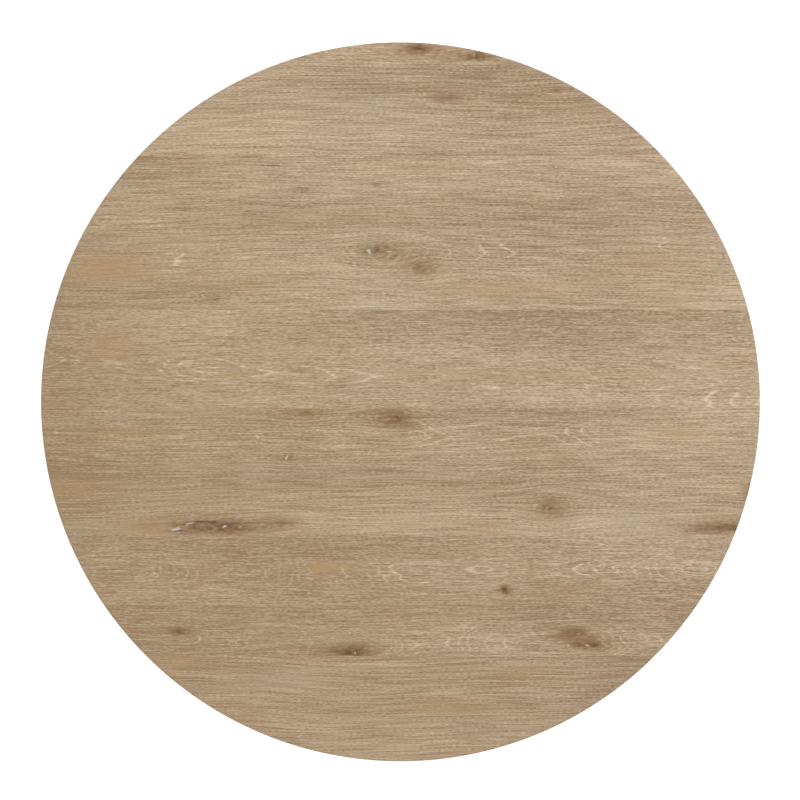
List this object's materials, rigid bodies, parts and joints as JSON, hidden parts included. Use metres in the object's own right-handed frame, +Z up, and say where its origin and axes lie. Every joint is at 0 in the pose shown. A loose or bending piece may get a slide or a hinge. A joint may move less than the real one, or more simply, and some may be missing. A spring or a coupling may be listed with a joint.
{
  "type": "round pedestal table",
  "caption": "Round pedestal dining table: limed oak veneered top on crossed bearers, a coopered and turned column, and arched feet with screw levellers.",
  "frame": {"origin": "on the floor, under the axis of the column", "axes": "+Z up; +X along the grain of the top; foot_1 points along +X"},
  "size_m": [1.219, 1.219, 0.762],
  "materials": {
    "face_oak": "knotty wire-brushed oak, limed and matt lacquered",
    "solid_oak": "brushed oak, limed and matt lacquered",
    "plain_hardwood": "planed, unfinished",
    "fibreboard": "sealed board",
    "backing_oak": "plain veneer, sealed",
    "zinc_steel": "zinc plated",
    "insert_brass": "machined",
    "black_steel": "black powder coat",
    "black_nylon": "moulded nylon"
  },
  "bodies": {
    "root": {"face_leaf_1": "face_oak", "face_leaf_2": "face_oak", "face_leaf_3": "face_oak", "face_leaf_4": "face_oak", "face_leaf_5": "face_oak", "face_leaf_6": "face_oak", "face_leaf_7": "face_oak", "face_leaf_8": "face_oak", "face_leaf_9": "face_oak", "edge_lipping_1": "solid_oak", "edge_lipping_2": "solid_oak", "edge_lipping_3": "solid_oak", "edge_lipping_4": "solid_oak", "edge_lipping_5": "solid_oak", "edge_lipping_6": "solid_oak", "edge_lipping_7": "solid_oak", "edge_lipping_8": "solid_oak", "bearer_lower": "solid_oak", "bearer_upper": "solid_oak", "column_stave_1": "solid_oak", "column_stave_2": "solid_oak", "column_stave_3": "solid_oak", "column_stave_4": "solid_oak", "column_stave_5": "solid_oak", "column_stave_6": "solid_oak", "column_stave_7": "solid_oak", "column_stave_8": "solid_oak", "foot_1": "solid_oak", "foot_2": "solid_oak", "foot_3": "solid_oak", "foot_4": "solid_oak", "column_plug_top": "plain_hardwood", "column_plug_bottom": "plain_hardwood", "column_dowels": "plain_hardwood", "foot_dowels": "plain_hardwood", "top_core": "fibreboard", "rim_build_up_1": "fibreboard", "rim_build_up_2": "fibreboard", "rim_build_up_3": "fibreboard", "rim_build_up_4": "fibreboard", "backing_veneer": "backing_oak", "top_bolts": "zinc_steel", "top_washers": "zinc_steel", "hanger_bolts": "zinc_steel", "hanger_nuts": "zinc_steel", "tie_rod": "zinc_steel", "tie_rod_nuts": "zinc_steel", "tie_rod_washers": "zinc_steel", "leveller_sleeves": "zinc_steel", "top_inserts": "insert_brass", "spider_plate": "black_steel", "spider_screws": "black_steel"},
    "leveller_1_pad": {"leveller_pad_1": "black_nylon"},
    "leveller_1_stud": {"leveller_stud_1": "zinc_steel"},
    "leveller_2_pad": {"leveller_pad_2": "black_nylon"},
    "leveller_2_stud": {"leveller_stud_2": "zinc_steel"},
    "leveller_3_pad": {"leveller_pad_3": "black_nylon"},
    "leveller_3_stud": {"leveller_stud_3": "zinc_steel"},
    "leveller_4_pad": {"leveller_pad_4": "black_nylon"},
    "leveller_4_stud": {"leveller_stud_4": "zinc_steel"}
  },
  "joints": [
    {"name": "leveller_1_travel", "type": "slide", "parent": "root", "child": "leveller_1_pad", "axis": [0, 0, -1], "range_m": [0, 0.01]},
    {"name": "leveller_1_turn", "type": "hinge", "parent": "leveller_1_pad", "child": "leveller_1_stud", "pos_m": [0.355, 0, 0.012], "axis": [0, 0, -1], "range_deg": [0, 2880]},
    {"name": "leveller_2_travel", "type": "slide", "parent": "root", "child": "leveller_2_pad", "axis": [0, 0, -1], "range_m": [0, 0.01]},
    {"name": "leveller_2_turn", "type": "hinge", "parent": "leveller_2_pad", "child": "leveller_2_stud", "pos_m": [0, 0.355, 0.012], "axis": [0, 0, -1], "range_deg": [0, 2880]},
    {"name": "leveller_3_travel", "type": "slide", "parent": "root", "child": "leveller_3_pad", "axis": [0, 0, -1], "range_m": [0, 0.01]},
    {"name": "leveller_3_turn", "type": "hinge", "parent": "leveller_3_pad", "child": "leveller_3_stud", "pos_m": [-0.355, 0, 0.012], "axis": [0, 0, -1], "range_deg": [0, 2880]},
    {"name": "leveller_4_travel", "type": "slide", "parent": "root", "child": "leveller_4_pad", "axis": [0, 0, -1], "range_m": [0, 0.01]},
    {"name": "leveller_4_turn", "type": "hinge", "parent": "leveller_4_pad", "child": "leveller_4_stud", "pos_m": [0, -0.355, 0.012], "axis": [0, 0, -1], "range_deg": [0, 2880]}
  ],
  "couplings": [
    {"joint": "leveller_1_travel", "follows": "leveller_1_turn", "m_per_rad": 0.0001989},
    {"joint": "leveller_2_travel", "follows": "leveller_2_turn", "m_per_rad": 0.0001989},
    {"joint": "leveller_3_travel", "follows": "leveller_3_turn", "m_per_rad": 0.0001989},
    {"joint": "leveller_4_travel", "follows": "leveller_4_turn", "m_per_rad": 0.0001989}
  ]
}
